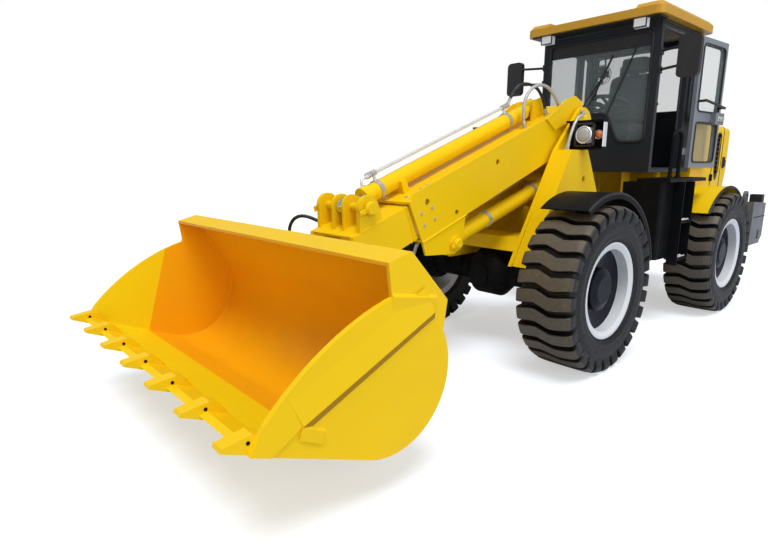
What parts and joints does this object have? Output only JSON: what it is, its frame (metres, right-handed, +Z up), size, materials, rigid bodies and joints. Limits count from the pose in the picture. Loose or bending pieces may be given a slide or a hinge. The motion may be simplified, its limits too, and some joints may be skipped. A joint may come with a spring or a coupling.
{
  "type": "articulated wheel loader with telescopic boom",
  "caption": "Yellow articulated wheel loader with a telescopic boom, toothed bucket, glazed cab with an open door, lugged tyres and a rear counterweight.",
  "frame": {"origin": "centre of the whole machine's box, at ground level under the tyres", "axes": "+X forward towards the bucket, +Y to the driver's left, +Z up"},
  "size_m": [6.5802, 2.2, 2.74],
  "materials": {
    "yellow_paint": "bright yellow gloss enamel",
    "roof_paint": "darker yellow gloss enamel",
    "black_paint": "satin black enamel",
    "grey_paint": "satin grey enamel",
    "rim_paint": "silver enamel ring on a dark dished disc",
    "tyre": "black tread rubber",
    "cab_paint": "satin dark grey enamel",
    "glass": "clear glass, faintly grey",
    "rod_chrome": "bright chrome",
    "pipe_steel": "plated steel",
    "black_plastic": "moulded black plastic",
    "seat_fabric": "woven dark grey cover",
    "lamp_lens": "clear lens",
    "amber_lens": "amber lens",
    "red_lens": "red lens",
    "engine_iron": "cast surface, painted grey",
    "hose_rubber": "black hose rubber"
  },
  "bodies": {
    "rear_frame": {"rear_frame": "yellow_paint", "rear_axle": "black_paint", "engine": "engine_iron", "hood": "yellow_paint", "grilles": "black_plastic", "counterweight": "grey_paint", "lifting_eyes": "grey_paint", "tow_hitch": "grey_paint", "rear_guards": "yellow_paint", "side_tanks": "black_paint", "platforms": "black_paint", "handrails": "black_paint", "cab_frame": "cab_paint", "cab_glass": "glass", "cab_roof": "roof_paint", "work_lamps": "lamp_lens", "mirrors": "black_plastic", "console": "black_plastic", "steering_wheel": "black_plastic", "seat": "seat_fabric", "exhaust": "black_paint", "tail_lamps": "red_lens", "steering_brackets": "yellow_paint"},
    "door": {"door_frame": "cab_paint", "door_glass": "glass"},
    "front_frame": {"front_frame": "yellow_paint", "front_axle": "black_paint", "front_guards": "black_paint", "lamp_brackets": "black_paint", "headlamps": "lamp_lens", "turn_signals": "amber_lens", "tower_hose": "pipe_steel"},
    "boom_outer": {"boom_outer": "yellow_paint", "extension_barrel": "yellow_paint", "oil_pipe": "pipe_steel", "boom_hoses": "hose_rubber"},
    "boom_inner": {"boom_inner": "yellow_paint", "extension_rod": "rod_chrome", "head_hose": "hose_rubber"},
    "bucket": {"bucket": "yellow_paint", "bucket_teeth": "yellow_paint"},
    "lift_barrels": {"lift_barrels": "yellow_paint"},
    "lift_rods": {"lift_rods": "rod_chrome"},
    "tilt_barrel": {"tilt_barrel": "yellow_paint"},
    "tilt_rod": {"tilt_rod": "rod_chrome"},
    "steering_barrel_left": {"steering_barrel_left": "black_paint"},
    "steering_rod_left": {"steering_rod_left": "rod_chrome"},
    "steering_barrel_right": {"steering_barrel_right": "black_paint"},
    "steering_rod_right": {"steering_rod_right": "rod_chrome"},
    "wheel_front_left": {"tyre_front_left": "tyre", "rim_front_left": "rim_paint"},
    "wheel_front_right": {"tyre_front_right": "tyre", "rim_front_right": "rim_paint"},
    "wheel_rear_left": {"tyre_rear_left": "tyre", "rim_rear_left": "rim_paint"},
    "wheel_rear_right": {"tyre_rear_right": "tyre", "rim_rear_right": "rim_paint"}
  },
  "joints": [
    {"name": "steering", "type": "hinge", "parent": "rear_frame", "child": "front_frame", "pos_m": [-0.80009, 0, 0.745], "axis": [0, 0, 1], "range_deg": [-38, 38]},
    {"name": "door_swing", "type": "hinge", "parent": "rear_frame", "child": "door", "pos_m": [-1.66509, 0.585, 1.98], "axis": [0, 0, -1], "range_deg": [0, 176]},
    {"name": "lift", "type": "hinge", "parent": "front_frame", "child": "boom_outer", "pos_m": [-0.27009, 0, 1.76], "axis": [0, -1, 0], "range_deg": [-4, 60]},
    {"name": "extension", "type": "slide", "parent": "boom_outer", "child": "boom_inner", "axis": [0.9385, 0, -0.3453], "range_m": [0, 1.1]},
    {"name": "tilt", "type": "hinge", "parent": "boom_inner", "child": "bucket", "pos_m": [2.01013, 0, 0.5204], "axis": [0, 1, 0], "range_deg": [-10, 75]},
    {"name": "lift_barrel_swing", "type": "hinge", "parent": "front_frame", "child": "lift_barrels", "pos_m": [-0.13009, 0, 1.33], "axis": [0, -1, 0], "range_deg": [-6, 64]},
    {"name": "lift_rod_slide", "type": "slide", "parent": "lift_barrels", "child": "lift_rods", "axis": [0.9537, 0, -0.3006], "range_m": [-0.05, 0.5]},
    {"name": "tilt_barrel_swing", "type": "hinge", "parent": "boom_inner", "child": "tilt_barrel", "pos_m": [1.48835, 0, 1.12368], "axis": [0, 1, 0], "range_deg": [-5, 20]},
    {"name": "tilt_rod_slide", "type": "slide", "parent": "tilt_barrel", "child": "tilt_rod", "axis": [0.9434, 0, -0.3316], "range_m": [-0.1, 0.45]},
    {"name": "steering_barrel_left_swing", "type": "hinge", "parent": "rear_frame", "child": "steering_barrel_left", "pos_m": [-1.39009, 0.23, 0.7], "axis": [0, 0, 1], "range_deg": [-12, 12]},
    {"name": "steering_rod_left_slide", "type": "slide", "parent": "steering_barrel_left", "child": "steering_rod_left", "axis": [0.9985, 0.054, 0], "range_m": [-0.2, 0.2]},
    {"name": "steering_barrel_right_swing", "type": "hinge", "parent": "rear_frame", "child": "steering_barrel_right", "pos_m": [-1.39009, -0.23, 0.7], "axis": [0, 0, 1], "range_deg": [-12, 12]},
    {"name": "steering_rod_right_slide", "type": "slide", "parent": "steering_barrel_right", "child": "steering_rod_right", "axis": [0.9985, -0.054, 0], "range_m": [-0.2, 0.2]},
    {"name": "front_left_wheel", "type": "hinge", "parent": "front_frame", "child": "wheel_front_left", "pos_m": [0.40991, 0.805, 0.585], "axis": [0, 1, 0], "continuous": true},
    {"name": "front_right_wheel", "type": "hinge", "parent": "front_frame", "child": "wheel_front_right", "pos_m": [0.40991, -0.805, 0.585], "axis": [0, 1, 0], "continuous": true},
    {"name": "rear_left_wheel", "type": "hinge", "parent": "rear_frame", "child": "wheel_rear_left", "pos_m": [-2.01009, 0.805, 0.585], "axis": [0, 1, 0], "continuous": true},
    {"name": "rear_right_wheel", "type": "hinge", "parent": "rear_frame", "child": "wheel_rear_right", "pos_m": [-2.01009, -0.805, 0.585], "axis": [0, 1, 0], "continuous": true}
  ],
  "couplings": [
    {"joint": "lift_barrel_swing", "follows": "lift", "ratio": 1.0227},
    {"joint": "lift_rod_slide", "follows": "lift", "m_per_rad": 0.43032},
    {"joint": "tilt_barrel_swing", "follows": "tilt", "ratio": 0.23065},
    {"joint": "tilt_rod_slide", "follows": "tilt", "m_per_rad": 0.30534},
    {"joint": "steering_barrel_left_swing", "follows": "steering", "ratio": 0.19781},
    {"joint": "steering_rod_left_slide", "follows": "steering", "m_per_rad": -0.25189},
    {"joint": "steering_barrel_right_swing", "follows": "steering", "ratio": 0.19781},
    {"joint": "steering_rod_right_slide", "follows": "steering", "m_per_rad": 0.25189}
  ]
}
